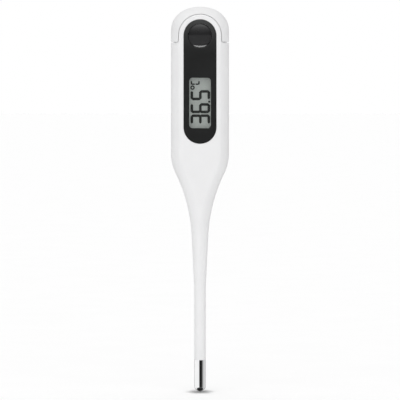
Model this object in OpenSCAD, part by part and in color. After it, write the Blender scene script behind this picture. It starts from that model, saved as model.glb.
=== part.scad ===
// Stick thermometer with a digital display, a metal probe and a pull-off battery cover.
// It stands upright on the point of its probe, which is the origin. +Z runs up to the battery
// cover, the display faces -Y, and the body is centred on X and Y.
// Lengths are in millimetres and angles in degrees.

/* [Overall size] */
// Length from the point of the probe to the end of the battery cover
total_length = 125; // [122:0.5:128]
// Width of the body
body_width = 18.8; // [18.6:0.1:19.6]
// Thickness of the body
body_depth = 10.8; // [10.8:0.1:11.4]
// Wall thickness of the housing and the battery cover
wall = 1.3; // [1.2:0.05:1.35]

/* [Outline] */
// Height of the rounded end above the straight sides
crown_height = 7.8; // [7.4:0.1:8.4]
// Squareness of the rounded end, where 2 is an ellipse
crown_power = 2.15; // [2:0.05:2.4]
// Width of the sloping edge, seen from the front
edge_width = 2.9; // [2.7:0.1:3]
// Turn of the edge's curve where it meets the front face, where 90 is tangent to the face
edge_turn = 58; // [54:1:64]
// Height of the seam between the housing and the battery cover
seam_z = 113.5; // [113.2:0.1:113.8]
// Gap all along that seam
seam_gap = 0.2; // [0.15:0.05:0.25]
// Height where the straight sides end, seen from the front
shoulder_z = 77.5; // [76:0.5:79]
// Radius of the shoulder, seen from the front
shoulder_r = 15; // [13:1:18]
// Steepest slope of the taper, seen from the front
shoulder_angle = 26; // [23:1:28]
// Height where the back starts to taper, seen from the side
flank_z = 80; // [79:0.5:80.5]
// Radius of the shoulder, seen from the side
flank_r = 40; // [30:1:45]
// Steepest slope of the taper, seen from the side
flank_angle = 9; // [8:0.5:10]

/* [Stem and probe] */
// Radius of the stem just above the metal tip
stem_r = 1.86; // [1.86:0.02:2]
// Growth of the stem's radius for each millimetre of height
stem_growth = 0.05; // [0.04:0.005:0.055]
// Height where the stem starts to widen
stem_straight_z = 34; // [32:1:38]
// Radius of the metal tip
tip_r = 1.85; // [1.85:0.05:2.05]
// Length of the metal tip
tip_length = 10.3; // [9.5:0.1:12]
// Depth of the tip's rounded end
tip_dome = 1.5; // [1.2:0.1:1.8]
// Wall thickness of the metal tip
tip_wall = 0.2; // [0.15:0.05:0.25]

/* [Front panel] */
// Height of the common centre of the button and the round top of the panel
button_z = 115.6; // [115.4:0.1:115.8]
// Radius of the raised tongue that carries the button
tongue_r = 6.9; // [6.8:0.1:7]
// Half the width of the black panel, which is also the radius of its round ends
panel_r = 5.3; // [5.2:0.05:5.4]
// Height of the centre of the panel's round lower end
panel_low_z = 86; // [85.5:0.1:86.5]
// Thickness of the panel
panel_t = 0.6; // [0.5:0.05:0.65]
// Thickness of the adhesive behind the panel
adhesive_t = 0.1; // [0.05:0.05:0.1]
// Depth of the panel's face below the front of the housing
panel_sink = 0.05; // [0.02:0.01:0.1]
// Radius of the power button
button_r = 3.8; // [3.6:0.05:3.9]
// Travel of the power button
button_travel = 0.4; // [0.3:0.05:0.4]
// Height of the deepest line of the finger scoop across the button
scoop_z = 116.6; // [116:0.1:117]
// Depth of the finger scoop at that line
scoop_depth = 1; // [0.8:0.05:1]
// Height where the scoop's lower lip begins
lip_z = 112.5; // [112.3:0.1:113]
// Depth of the scoop where its lower lip begins
lip_depth = 0.5; // [0.3:0.05:0.6]

/* [Display] */
// Width of the display window
window_width = 7.1; // [6.8:0.1:7.3]
// Height of the display window
window_height = 16.4; // [16:0.1:16.6]
// Height of the window's centre above the point of the probe
window_z = 93.9; // [93.8:0.1:94.2]
// Corner radius of the window
window_corner = 1.1; // [0.8:0.1:1.4]

/* [Inside] */
// Thickness of the circuit board
board_t = 0.8; // [0.6:0.1:0.8]
// Half the width of the circuit board
board_r = 6.5; // [6.3:0.1:6.5]
// Diameter of the button cell
cell_d = 7.9; // [7.8:0.1:7.9]
// Height of the button cell
cell_t = 3.6; // [3.5:0.1:3.6]
// Height of the button cell's centre above the point of the probe
cell_z = 117.5; // [117.4:0.1:117.6]
// Radius of the buzzer's brass plate
buzzer_r = 4.6; // [4:0.1:5]

/* [Hidden] */
$fn = 64;
eps = 0.01;

// Body surface: rings of points from the crown down to the tip
half_width = body_width / 2;
half_depth = body_depth / 2;
crown_z = total_length - crown_height;
crown_steps = 12;
edge_steps = 16;
taper_steps = 18;
taper_end_z = 50;
least_flat = 0.05;
round_half = 2.2;
crease_half = 3.8;

// Layers behind the front face, as heights along Y
panel_y = -half_depth + panel_sink;
adhesive_y = panel_y + panel_t;
pocket_y = adhesive_y + adhesive_t;
inside_y = -half_depth + wall;
fit_gap = 0.05;

// Seam: how deep the tongue's outline is cut into the cover
tongue_back_y = -3;
tongue_fillet = 0.65;

// Power button
button_gap = 0.15;
flange_r = 4.5;
flange_t = 0.5;
flange_y = inside_y + 0.1;
button_face_y = panel_y + 0.1;
scoop_steps = 8;
seal_rim_in = 4.75;
seal_rim_out = 5.7;
seal_web_t = 0.2;
seal_hole_r = 1.3;
plunger_r = 1.1;
dome_r = 2.5;
dome_h = button_travel + 0.2;

// Display stack
polariser_t = 0.15;
glass_t = 0.55;
polariser_y = -4;
front_glass_y = polariser_y + polariser_t;
rear_glass_y = front_glass_y + glass_t;
reflector_y = rear_glass_y + glass_t;
glass_left = -5.3;
front_glass_right = 6.05;
rear_glass_right = 5;
glass_height = 22;
zebra_x = 5.15;
zebra_w = 0.8;
zebra_height = 20;
opening_margin = 0.2;
lens_flange = 0.75;

// Board and inner frame
board_y = -1.9;
board_back_y = board_y + board_t;
board_low_z = 82.2;
frame_half = 7.3;
frame_lip_half = 6.5;
frame_lip_y = -4.05;
frame_step_y = -2.9;
frame_low_z = 81.6;
frame_high_z = 109.5;
pocket_margin = 0.1;
rail_in = 6.65;
rail_front_y = -2.6;
rail_back_y = 2.4;
rail_high_z = 118;
bridge_z = 110;
bridge_h = 1.6;
bridge_t = 1;
screw_x = 4.6;
screw_z = 107.3;
screw_r = 0.5;
screw_length = 2;
screw_head_r = 1.1;
screw_head_h = 0.65;
blob_r = 3.4;
blob_h = 0.9;
blob_z = 94.5;
chip_size = [1, 0.5, 0.6];
chip_places = [
    [-5, 88], [-5, 90.5], [-5, 93], [-5, 95.5], [5, 89], [5, 91.5], [5, 99], [-1.5, 101], [1.5, 101]
];

// Cell and contacts
cell_r = cell_d / 2;
contact_t = 0.2;
cell_front_y = board_back_y + contact_t;
cell_back_y = cell_front_y + cell_t;
can_wall = 0.25;
can_front_y = cell_front_y + 0.35;
cap_r = 3.25;
gasket_front_y = cell_front_y + 0.25;
holder_gap = 0.1;
holder_wall = 0.9;
holder_mouth = 3.3;
positive_half = 1.2;
positive_low_z = 112;
positive_high_z = 118;
negative_half = 1;
negative_low_z = 113.8;
negative_high_z = 120;

// Buzzer
buzzer_z = 95;
buzzer_plate_t = 0.15;
buzzer_ceramic_r = 3.3;
buzzer_ceramic_t = 0.12;
buzzer_y = half_depth - wall - buzzer_plate_t;
buzzer_wire_r = 0.15;
ceramic_wire_route = [
    [2, 3.68, 96.5], [2.2, 3.4, 98.5], [2.8, 2.6, 101], [3.2, 1.2, 102.8], [3.3, -0.3, 103.8],
    [3.3, -1.02, 104.05]
];
plate_wire_route = [
    [-3.8, 3.8, 96.2], [-3.8, 3.5, 98.5], [-3.6, 2.6, 101], [-3.4, 1.2, 102.8],
    [-3.3, -0.3, 103.8], [-3.3, -1.02, 104.05]
];

// Probe
neck_length = 3;
neck_gap = 0.03;
bead_r = 0.5;
bead_z = 2.3;
lead_r = 0.12;
lead_x = 0.3;
lead_route = [
    [0, 0, 2.4], [0, 0, 20], [0, 0, 40], [0, 0, 60], [0, 0, 74], [0, -0.25, 78], [0, -0.7, 81],
    [0, -0.98, 83.2], [0, -0.98, 85.5]
];
potting_low_z = 0.35;
wire_sides = 8;

// Half size of the stem at height z
function stem_line(z) = stem_r + stem_growth * max(0, z - stem_straight_z);

// Half size of the body at height z, seen from one side: straight above z_top, then a convex
// arc, then a concave arc that runs out along the stem, each tangent to the next
function taper(z, full, z_top, r_top, angle) =
    let (
        lean = atan(stem_growth),
        z_mid = z_top - r_top * sin(angle),
        mid = full - r_top * (1 - cos(angle)),
        swing = sin(angle) - sin(lean),
        r_low = (mid - stem_line(z_mid)) / (cos(lean) - cos(angle) - stem_growth * swing),
        z_low = z_mid - r_low * swing
    )
    z >= z_top ? full
    : z >= z_mid ? full - r_top + sqrt(pow(r_top, 2) - pow(z_top - z, 2))
    : z >= z_low ? mid + r_low * cos(angle)
        - sqrt(pow(r_low, 2) - pow(z - z_mid + r_low * sin(angle), 2))
    : stem_line(z);

function width_at(z) = taper(z, half_width, shoulder_z, shoulder_r, shoulder_angle);
function depth_at(z) = taper(z, half_depth, flank_z, flank_r, flank_angle);

// Turn of the edge's curve where it meets the front and the back, for a body of half width w.
// The stem is round, and a crease grows along the body
function turn_at(w) =
    90 - (90 - edge_turn) * min(1, max(0, (w - round_half) / (crease_half - round_half)));

// One side of a ring: from the front, round the edge, to the back. x and z are a point of the
// outline, and [nx, nz] points into the body from it
function edge_points(x, z, nx, nz, edge, depth, turn) = [
    for (i = [0 : edge_steps])
        let (a = turn * (2 * i / edge_steps - 1), inward = edge * (1 - cos(a)) / (1 - cos(turn)))
        [x + nx * inward, depth * sin(a) / sin(turn), z + nz * inward]
];

// The whole ring: one side, then its mirror image from back to front
function ring(side) = concat(
    side,
    [for (i = [edge_steps : -1 : 0]) [-side[i][0], side[i][1], side[i][2]]]
);

// Side of the ring at an angle round the crown, where 90 is its top
function crown_side(angle, inset) =
    let (
        a = half_width - inset,
        b = crown_height - inset,
        c = pow(cos(angle), 2 / crown_power),
        s = pow(sin(angle), 2 / crown_power),
        gx = pow(c, crown_power - 1) / a,
        gz = pow(s, crown_power - 1) / b,
        g = norm([gx, gz])
    )
    edge_points(
        a * c, crown_z + b * s, -gx / g, -gz / g,
        edge_width - inset, half_depth - inset, edge_turn
    );

// Side of the ring at height z, below the crown
function level_side(z, inset) =
    let (w = width_at(z) - inset)
    edge_points(
        w, z, -1, 0,
        min(edge_width - inset, w - least_flat), depth_at(z) - inset, turn_at(w + inset)
    );

// Solid inside the body's surface moved inwards by inset, from z_low up to the crown
module body_solid(inset, z_low) {
    top = crown_side(90, inset);
    taper_z = [
        for (i = [0 : taper_steps]) shoulder_z + (taper_end_z - shoulder_z) * i / taper_steps
    ];
    levels = [for (z = concat([flank_z], taper_z, [stem_straight_z, z_low])) if (z >= z_low) z];
    rings = concat(
        [for (i = [crown_steps - 1 : -1 : 0]) ring(crown_side(90 * i / crown_steps, inset))],
        [for (z = levels) ring(level_side(z, inset))]
    );
    side = edge_steps + 1;
    count = 2 * side;
    points = concat(top, [for (r = rings) each r]);
    cap_faces = concat(
        [for (i = [0 : edge_steps - 1]) each [
            [i, i + 1, side + i],
            [i + 1, side + i + 1, side + i],
            [i, side + count - 1 - i, i + 1],
            [i + 1, side + count - 1 - i, side + count - 2 - i]
        ]],
        [[0, side, side + count - 1], [edge_steps, side + edge_steps + 1, side + edge_steps]]
    );
    wall_faces = [
        for (k = [0 : len(rings) - 2], i = [0 : count - 1])
            let (
                a = side + k * count + i,
                b = side + k * count + (i + 1) % count
            )
            each [[a, b, a + count], [b, b + count, a + count]]
    ];
    last = side + (len(rings) - 1) * count;
    end_face = [[for (i = [0 : count - 1]) last + i]];
    polyhedron(points, concat(cap_faces, wall_faces, end_face));
}

// Prism whose outline, drawn in X and Y, stands in X and Z, between two heights along Y
module standing(y_front, y_back) {
    translate([0, y_back, 0])
        rotate([90, 0, 0])
            linear_extrude(y_back - y_front)
                children();
}

// Round bar along Y with its centre at x and z
module bar(x, z, r, y_front, y_back) {
    standing(y_front, y_back)
        translate([x, z])
            circle(r);
}

// Block given by two opposite corners
module block(low, high) {
    translate(low)
        cube(high - low);
}

// Dome of base radius r and height h, standing on Z = 0
module shallow_dome(r, h) {
    sphere_r = (r * r + h * h) / (2 * h);
    rotate_extrude()
        intersection() {
            translate([0, h - sphere_r])
                circle(sphere_r, $fn = 720);
            square([r + 1, h + 1]);
        }
}

module rounded_rect(w, h, r) {
    square([w - 2 * r, h], center = true);
    square([w, h - 2 * r], center = true);
    for (x = [-1, 1], y = [-1, 1])
        translate([x * (w / 2 - r), y * (h / 2 - r)])
            circle(r);
}

// Outline of the black panel, grown by a margin
module panel_outline(grow) {
    r = panel_r + grow;
    for (z = [panel_low_z, button_z])
        translate([0, z])
            circle(r);
    translate([-r, panel_low_z])
        square([2 * r, button_z - panel_low_z]);
}

// Outline of the display window, grown by a margin
module window_outline(grow) {
    translate([0, window_z])
        rounded_rect(window_width + 2 * grow, window_height + 2 * grow, window_corner + grow);
}

// Outline of the tongue, grown by a margin, with a filleted foot on the seam
module tongue_outline(grow) {
    r = tongue_r + grow;
    foot_z = seam_z - seam_gap / 2 + grow;
    fillet = tongue_fillet - grow;
    translate([0, button_z])
        circle(r);
    translate([-r, foot_z - 2])
        square([2 * r, button_z - foot_z + 2]);
    for (side = [0, 1])
        mirror([side, 0])
            difference() {
                translate([r - eps, foot_z - 1])
                    square([fillet + eps, 1 + fillet]);
                translate([r + fillet, foot_z + fillet])
                    circle(fillet);
            }
}

// Tube of round section that follows a route lying near a plane through Z and Y
module wire(route, r) {
    last = len(route) - 1;
    points = [
        for (k = [0 : last])
            let (
                run = route[min(k + 1, last)] - route[max(k - 1, 0)],
                across = [0, -run[2], run[1]] / norm([run[1], run[2]])
            )
            for (i = [0 : wire_sides - 1])
                route[k] + r * (cos(360 * i / wire_sides) * [1, 0, 0]
                    + sin(360 * i / wire_sides) * across)
    ];
    walls = [
        for (k = [0 : last - 1], i = [0 : wire_sides - 1])
            let (a = k * wire_sides + i, b = k * wire_sides + (i + 1) % wire_sides)
            each [[a, b, a + wire_sides], [b, b + wire_sides, a + wire_sides]]
    ];
    ends = [
        [for (i = [wire_sides - 1 : -1 : 0]) i],
        [for (i = [0 : wire_sides - 1]) last * wire_sides + i]
    ];
    polyhedron(points, concat(walls, ends));
}

// White one-piece body: shell, tongue and stem, with a neck for the metal tip
module housing() {
    color("white") {
        difference() {
            body_solid(0, tip_length);
            body_solid(wall, tip_length - eps);
            difference() {
                block(
                    [-body_width, -body_depth, seam_z - seam_gap / 2],
                    [body_width, body_depth, total_length + 1]
                );
                standing(-body_depth, tongue_back_y)
                    tongue_outline(0);
            }
            standing(-body_depth, pocket_y)
                panel_outline(fit_gap);
            standing(-body_depth, inside_y + 1)
                window_outline(opening_margin);
            bar(0, button_z, button_r + button_gap, -body_depth, inside_y + 1);
        }
        difference() {
            translate([0, 0, tip_length - neck_length])
                cylinder(neck_length, r = tip_r - tip_wall - neck_gap);
            translate([0, 0, tip_length - neck_length - 1])
                cylinder(neck_length + 2, r = stem_r - wall);
        }
    }
}

// White cap over the top, sides and back, open in front round the tongue
module battery_cover() {
    groove_r = 0.45;
    groove_depth = 0.3;
    groove_half = 3.5;
    color("white")
        difference() {
            body_solid(0, crown_z - 10);
            body_solid(wall, crown_z - 11);
            block(
                [-body_width, -body_depth, 0],
                [body_width, body_depth, seam_z + seam_gap / 2]
            );
            standing(-body_depth, tongue_back_y + seam_gap)
                tongue_outline(seam_gap);
            for (z = [117, 118.5, 120])
                translate([-groove_half, half_depth + groove_r - groove_depth, z])
                    rotate([0, 90, 0])
                        cylinder(2 * groove_half, r = groove_r);
        }
}

module bezel_panel() {
    color("#2a2a2c")
        difference() {
            standing(panel_y, adhesive_y)
                panel_outline(0);
            standing(panel_y - 1, adhesive_y + 1)
                window_outline(0);
            bar(0, button_z, button_r + button_gap, panel_y - 1, adhesive_y + 1);
        }
}

module display_window() {
    color("lightgray", 0.4) {
        standing(panel_y, adhesive_y)
            window_outline(-fit_gap);
        standing(adhesive_y, pocket_y)
            window_outline(lens_flange);
    }
}

module panel_adhesive() {
    margin = 0.2;
    color("dimgray")
        difference() {
            standing(adhesive_y, pocket_y)
                panel_outline(-margin);
            standing(adhesive_y - 1, pocket_y + 1)
                window_outline(lens_flange + fit_gap);
            bar(0, button_z, button_r + button_gap + margin, adhesive_y - 1, pocket_y + 1);
        }
}

// Section of the finger scoop as [y, z] points: an arc down from the button's upper edge to the
// deepest line, a gentle slope to the lip, and the lip
function scoop_section() =
    let (
        rise = button_z + button_r - scoop_z,
        r = (rise * rise + scoop_depth * scoop_depth) / (2 * scoop_depth),
        sweep = asin(rise / r),
        centre_y = button_face_y + scoop_depth - r
    )
    concat(
        [[button_face_y - 1, button_z - button_r], [button_face_y - 1, button_z + button_r]],
        [
            for (i = [scoop_steps : -1 : 0])
                let (turn = sweep * i / scoop_steps)
                [centre_y + r * cos(turn), scoop_z + r * sin(turn)]
        ],
        [[button_face_y + lip_depth, lip_z], [button_face_y, button_z - button_r]]
    );

// Round button with a scoop across its face, a flange that keeps it in and a plunger
module power_button() {
    flange_back_y = flange_y + flange_t;
    color("#202022") {
        difference() {
            bar(0, button_z, button_r, button_face_y, flange_y);
            translate([-button_r - 1, 0, 0])
                rotate([90, 0, 90])
                    linear_extrude(2 * button_r + 2)
                        polygon(scoop_section());
        }
        bar(0, button_z, flange_r, flange_y, flange_back_y);
        bar(0, button_z, plunger_r, flange_back_y, board_y - dome_h - fit_gap);
    }
}

// Silicone membrane behind the button
module button_seal() {
    web_y = flange_y + flange_t + 0.1;
    color("gray")
        difference() {
            bar(0, button_z, seal_rim_out, inside_y, web_y + seal_web_t);
            bar(0, button_z, seal_rim_in, inside_y - 1, web_y);
            bar(0, button_z, seal_hole_r, inside_y, web_y + 1);
        }
}

// Metal snap dome on the front of the board
module dome_switch() {
    color("silver")
        translate([0, board_y, button_z])
            rotate([90, 0, 0])
                shallow_dome(dome_r, dome_h);
}

module lcd_front_polariser() {
    margin = 0.9;
    color("darkseagreen", 0.6)
        standing(polariser_y, front_glass_y)
            translate([0, window_z])
                square([window_width + 2 * margin, window_height + 2 * margin], center = true);
}

module lcd_front_glass() {
    z = window_z - glass_height / 2;
    color("lightblue", 0.5)
        block([glass_left, front_glass_y, z], [front_glass_right, rear_glass_y, z + glass_height]);
}

module lcd_rear_glass() {
    z = window_z - glass_height / 2;
    color("lightblue", 0.5)
        block([glass_left, rear_glass_y, z], [rear_glass_right, reflector_y, z + glass_height]);
}

module lcd_reflector() {
    margin = 0.3;
    z = window_z - glass_height / 2 + margin;
    color("#9aa39b")
        block(
            [glass_left + margin, reflector_y, z],
            [rear_glass_right - margin, reflector_y + polariser_t, z + glass_height - 2 * margin]
        );
}

// Elastomer strip that joins the display's ledge to the board
module zebra_strip() {
    z = window_z - zebra_height / 2;
    color("dimgray")
        block([zebra_x, rear_glass_y, z], [zebra_x + zebra_w, board_y, z + zebra_height]);
}

// Plastic frame that holds the display against the window and guides the board and the cover
module inner_frame() {
    pocket_low = window_z - glass_height / 2 - pocket_margin;
    pocket_high = window_z + glass_height / 2 + pocket_margin;
    color("whitesmoke")
        difference() {
            union() {
                block(
                    [-frame_lip_half, frame_lip_y, frame_low_z],
                    [frame_lip_half, frame_step_y, frame_high_z]
                );
                block(
                    [-frame_half, frame_step_y, frame_low_z],
                    [frame_half, board_y, frame_high_z]
                );
                for (side = [0, 1])
                    mirror([side, 0, 0])
                        block(
                            [rail_in, rail_front_y, frame_low_z],
                            [frame_half, rail_back_y, rail_high_z]
                        );
                block(
                    [-frame_half, rail_back_y - bridge_t, bridge_z],
                    [frame_half, rail_back_y, bridge_z + bridge_h]
                );
            }
            block(
                [glass_left - pocket_margin, frame_lip_y - 1, pocket_low],
                [front_glass_right + pocket_margin, board_y + 1, pocket_high]
            );
            for (x = [-screw_x, screw_x])
                bar(x, screw_z, screw_r + fit_gap, board_y - screw_length - eps, board_y + 1);
        }
}

module circuit_board() {
    color("seagreen")
        difference() {
            standing(board_y, board_back_y)
                union() {
                    translate([0, button_z])
                        circle(board_r);
                    translate([-board_r, board_low_z])
                        square([2 * board_r, button_z - board_low_z]);
                }
            for (x = [-screw_x, screw_x])
                bar(x, screw_z, screw_r + 0.2, board_y - 1, board_back_y + 1);
        }
}

// Epoxy drop over the bare controller chip
module controller_blob() {
    color("#1b1b1d")
        translate([0, board_back_y, blob_z])
            rotate([-90, 0, 0])
                shallow_dome(blob_r, blob_h);
}

module chip_components() {
    color("tan")
        for (place = chip_places)
            translate([place[0] - chip_size[0] / 2, board_back_y, place[1] - chip_size[2] / 2])
                cube(chip_size);
}

// Self-tapping screws with a cross recess, driven from behind
module board_screws() {
    slot_w = 0.25;
    slot_depth = 0.35;
    color("silver")
        for (x = [-screw_x, screw_x])
            difference() {
                union() {
                    bar(x, screw_z, screw_r, board_y - screw_length + eps, board_back_y);
                    bar(x, screw_z, screw_head_r, board_back_y, board_back_y + screw_head_h);
                }
                for (turn = [0, 90])
                    translate([x, board_back_y + screw_head_h - slot_depth / 2 + eps, screw_z])
                        rotate([0, turn, 0])
                            cube([1.4, slot_depth, slot_w], center = true);
            }
}

// Open ring round the cell, fixed to the back of the board
module battery_holder() {
    inner = cell_r + holder_gap;
    outer = inner + holder_wall;
    color("whitesmoke")
        difference() {
            bar(0, cell_z, outer, board_back_y, cell_back_y - 0.2);
            bar(0, cell_z, inner, board_back_y - 1, cell_back_y + 1);
            block(
                [-holder_mouth, board_back_y - 1, cell_z],
                [holder_mouth, cell_back_y + 1, cell_z + 2 * outer]
            );
        }
}

// Positive steel cup of the cell
module cell_can() {
    color("silver")
        difference() {
            bar(0, cell_z, cell_r, can_front_y, cell_back_y);
            bar(0, cell_z, cell_r - can_wall, can_front_y - 1, cell_back_y - can_wall);
        }
}

// Nylon ring that insulates the cap from the can
module cell_gasket() {
    color("ivory")
        difference() {
            bar(0, cell_z, cell_r - can_wall, gasket_front_y, cell_back_y - can_wall);
            bar(0, cell_z, cap_r, gasket_front_y - 1, cell_back_y);
        }
}

// Negative cap of the cell, filled with its chemistry
module cell_cap() {
    color("gainsboro")
        bar(0, cell_z, cap_r, cell_front_y, cell_back_y - can_wall);
}

// Strip from the back of the cell, round its foot, to the board
module positive_contact() {
    color("gold") {
        block(
            [-positive_half, cell_back_y, positive_low_z],
            [positive_half, cell_back_y + contact_t, positive_high_z]
        );
        block(
            [-positive_half, board_back_y, positive_low_z],
            [positive_half, cell_back_y + contact_t, positive_low_z + contact_t]
        );
    }
}

module negative_contact() {
    color("gold")
        block(
            [-negative_half, board_back_y, negative_low_z],
            [negative_half, cell_front_y, negative_high_z]
        );
}

module buzzer_plate() {
    color("goldenrod")
        bar(0, buzzer_z, buzzer_r, buzzer_y, buzzer_y + buzzer_plate_t);
}

module buzzer_ceramic() {
    color("white")
        bar(0, buzzer_z, buzzer_ceramic_r, buzzer_y - buzzer_ceramic_t, buzzer_y);
}

module buzzer_wires() {
    color("red")
        wire(ceramic_wire_route, buzzer_wire_r);
    color("black")
        wire(plate_wire_route, buzzer_wire_r);
}

// Outline of one half of the tip's wall line, as a bar of radius r with a domed end
module tip_profile(r, dome, z_low, z_high) {
    intersection() {
        union() {
            translate([0, z_low + dome])
                scale([1, dome / r])
                    circle(r);
            translate([0, z_low + dome])
                square([r, z_high - z_low - dome]);
        }
        translate([0, z_low])
            square([r, z_high - z_low]);
    }
}

// Thin metal cap over the end of the stem
module probe_tip() {
    color("silver")
        rotate_extrude()
            difference() {
                tip_profile(tip_r, tip_dome, 0, tip_length);
                tip_profile(tip_r - tip_wall, tip_dome - tip_wall, tip_wall, tip_length + 1);
            }
}

module thermistor_bead() {
    color("black")
        translate([0, 0, bead_z])
            sphere(bead_r);
}

module thermistor_leads() {
    color("orangered")
        for (x = [-lead_x, lead_x])
            wire([for (p = lead_route) p + [x, 0, 0]], lead_r);
}

// Heat-conducting resin round the bead and the ends of the leads
module tip_potting() {
    resin_r = tip_r - tip_wall - neck_gap;
    top_z = tip_length - neck_length - fit_gap;
    color("gray")
        difference() {
            rotate_extrude()
                tip_profile(resin_r, tip_dome - tip_wall - neck_gap, potting_low_z, top_z);
            translate([0, 0, bead_z])
                sphere(bead_r + eps);
            for (x = [-lead_x, lead_x])
                translate([x, 0, bead_z])
                    cylinder(tip_length, r = lead_r + eps);
        }
}

housing();
battery_cover();
bezel_panel();
display_window();
panel_adhesive();
power_button();
button_seal();
dome_switch();
lcd_front_polariser();
lcd_front_glass();
lcd_rear_glass();
lcd_reflector();
zebra_strip();
inner_frame();
circuit_board();
controller_blob();
chip_components();
board_screws();
battery_holder();
cell_can();
cell_cap();
cell_gasket();
positive_contact();
negative_contact();
buzzer_plate();
buzzer_ceramic();
buzzer_wires();
probe_tip();
thermistor_bead();
thermistor_leads();
tip_potting();
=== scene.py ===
import math
import bmesh
import bpy
from mathutils import Matrix, Vector


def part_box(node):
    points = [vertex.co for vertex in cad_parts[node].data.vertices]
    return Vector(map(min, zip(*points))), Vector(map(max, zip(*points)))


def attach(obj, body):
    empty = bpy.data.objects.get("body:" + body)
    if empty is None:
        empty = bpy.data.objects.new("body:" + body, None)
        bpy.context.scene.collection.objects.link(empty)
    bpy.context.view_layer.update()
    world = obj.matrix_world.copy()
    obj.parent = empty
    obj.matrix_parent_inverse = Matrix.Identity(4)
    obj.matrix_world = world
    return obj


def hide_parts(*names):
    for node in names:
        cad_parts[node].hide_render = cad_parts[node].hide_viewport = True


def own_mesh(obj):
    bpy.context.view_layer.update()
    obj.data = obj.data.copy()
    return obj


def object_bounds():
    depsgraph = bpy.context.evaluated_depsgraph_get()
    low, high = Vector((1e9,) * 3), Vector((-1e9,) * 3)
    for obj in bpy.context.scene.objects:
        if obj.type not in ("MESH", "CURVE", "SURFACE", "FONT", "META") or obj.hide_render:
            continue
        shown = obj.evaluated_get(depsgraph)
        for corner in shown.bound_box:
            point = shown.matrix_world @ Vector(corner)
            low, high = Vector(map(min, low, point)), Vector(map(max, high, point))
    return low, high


# Stick thermometer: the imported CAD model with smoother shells, a scooped button, a reading on the
# display and detailed materials. Shapes are worked out in millimetres and scaled to metres.

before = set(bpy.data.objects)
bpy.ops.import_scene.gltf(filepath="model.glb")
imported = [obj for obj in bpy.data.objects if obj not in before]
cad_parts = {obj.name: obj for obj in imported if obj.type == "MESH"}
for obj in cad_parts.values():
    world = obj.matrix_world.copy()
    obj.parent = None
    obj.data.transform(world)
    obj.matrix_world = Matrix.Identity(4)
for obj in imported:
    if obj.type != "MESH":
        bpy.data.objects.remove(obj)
cad_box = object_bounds()

MM = 0.001


def span(node):
    """Lowest and highest corner of a CAD node, in millimetres."""
    low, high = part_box(node)
    return [c / MM for c in low], [c / MM for c in high]


# ---------------------------------------------------------------- sizes, from the frame
total_length = cad_box[1].z / MM
half_width = cad_box[1].x / MM
half_depth = cad_box[1].y / MM
tip_high = span("probe_tip")[1]
tip_length = tip_high[2]
tip_r = tip_high[0]
panel_low, panel_high = span("bezel_panel")
panel_r = panel_high[0]
panel_y = panel_low[1]
panel_back_y = panel_high[1]
panel_low_z = panel_low[2] + panel_r
button_z = panel_high[2] - panel_r
button_low, button_high = span("power_button")
button_face_y = button_low[1]
button_back_y = button_high[1]
flange_r = button_high[0]
lens_low, lens_high = span("display_window")
window_z = (lens_low[2] + lens_high[2]) / 2
film_y = span("lcd_front_polariser")[0][1]
cad_seam_gap = 0.2
seam_z = span("battery_cover")[0][2] - cad_seam_gap / 2
cell_low, cell_high = span("cell_can")
cap_low, cap_high = span("cell_cap")
gasket_high = span("cell_gasket")[1]
seal_low, seal_high = span("button_seal")
dome_low, dome_high = span("dome_switch")

# Sizes that the frame doesn't hold, as in the CAD model
wall = 1.3
crown_height = 7.8
crown_z = total_length - crown_height
crown_power = 2.15
edge_width = 2.9
edge_turn = 58
shoulder_z = 77.5
shoulder_r = 15
shoulder_angle = 26
flank_z = 80
flank_r = 40
flank_angle = 9
stem_r = 1.86
stem_growth = 0.05
stem_straight_z = 34
taper_end_z = 50
least_flat = 0.05
round_half = 2.2
crease_half = 3.8
tip_dome = 1.5
tip_wall = 0.2
neck_length = 3
neck_gap = 0.03
tongue_r = 6.9
tongue_fillet = 0.65
tongue_back_y = -3
adhesive_t = 0.1
pocket_y = panel_back_y + adhesive_t
inside_y = -half_depth + wall
fit_gap = 0.05
window_corner = 1.1
lens_flange = 0.75
opening_margin = 0.2
button_r = 3.8
button_gap = 0.15
flange_t = 0.5
flange_front_y = inside_y + 0.1
flange_back_y = flange_front_y + flange_t
plunger_r = 1.1
lip_z = 112.5
grip_heights = (117, 118.5, 120)
grip_r = 0.45
grip_depth = 0.3
grip_half = 3.5

# Sizes of the finer shapes: the softened crease and edges, the seam, the window, and the button's
# scoop with its lower lip
crease_r = 1.5
crown_flat = 3
front_bevel = 0.08
seam_gap = 0.14
seam_gap_inside = 0.02
groove_height = 0.24
groove_depth = 0.8
window_width = 7.0
window_height = 16.25
scoop_z = 115.8
scoop_depth = 1.12
lip_depth = 0.38
lip_slope = 0.6
lip_rim_depth = 0.03
lip_round_share = 0.35
lip_side_growth = 0.035
lip_blend = 0.06


# ---------------------------------------------------------------- mesh helpers
def add_object(name, mesh):
    obj = bpy.data.objects.new(name, mesh)
    bpy.context.scene.collection.objects.link(obj)
    return obj


def mesh_object(name, points, faces):
    mesh = bpy.data.meshes.new(name)
    mesh.from_pydata(points, [], faces)
    mesh.validate()
    bm = bmesh.new()
    bm.from_mesh(mesh)
    bmesh.ops.recalc_face_normals(bm, faces=bm.faces)
    bm.to_mesh(mesh)
    bm.free()
    return add_object(name, mesh)


def bake_modifiers(obj):
    """Replaces the object's mesh by the result of its modifiers."""
    graph = bpy.context.evaluated_depsgraph_get()
    mesh = bpy.data.meshes.new_from_object(obj.evaluated_get(graph))
    obj.modifiers.clear()
    obj.data = mesh


def combine(obj, cutters, operation="DIFFERENCE"):
    """Cuts each cutter out of the object, or joins it on, and removes the cutters."""
    for cutter in cutters:
        modifier = obj.modifiers.new("combine", "BOOLEAN")
        modifier.operation = operation
        modifier.solver = "EXACT"
        modifier.object = cutter
    bpy.context.view_layer.update()
    bake_modifiers(obj)
    for cutter in cutters:
        bpy.data.objects.remove(cutter)


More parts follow.
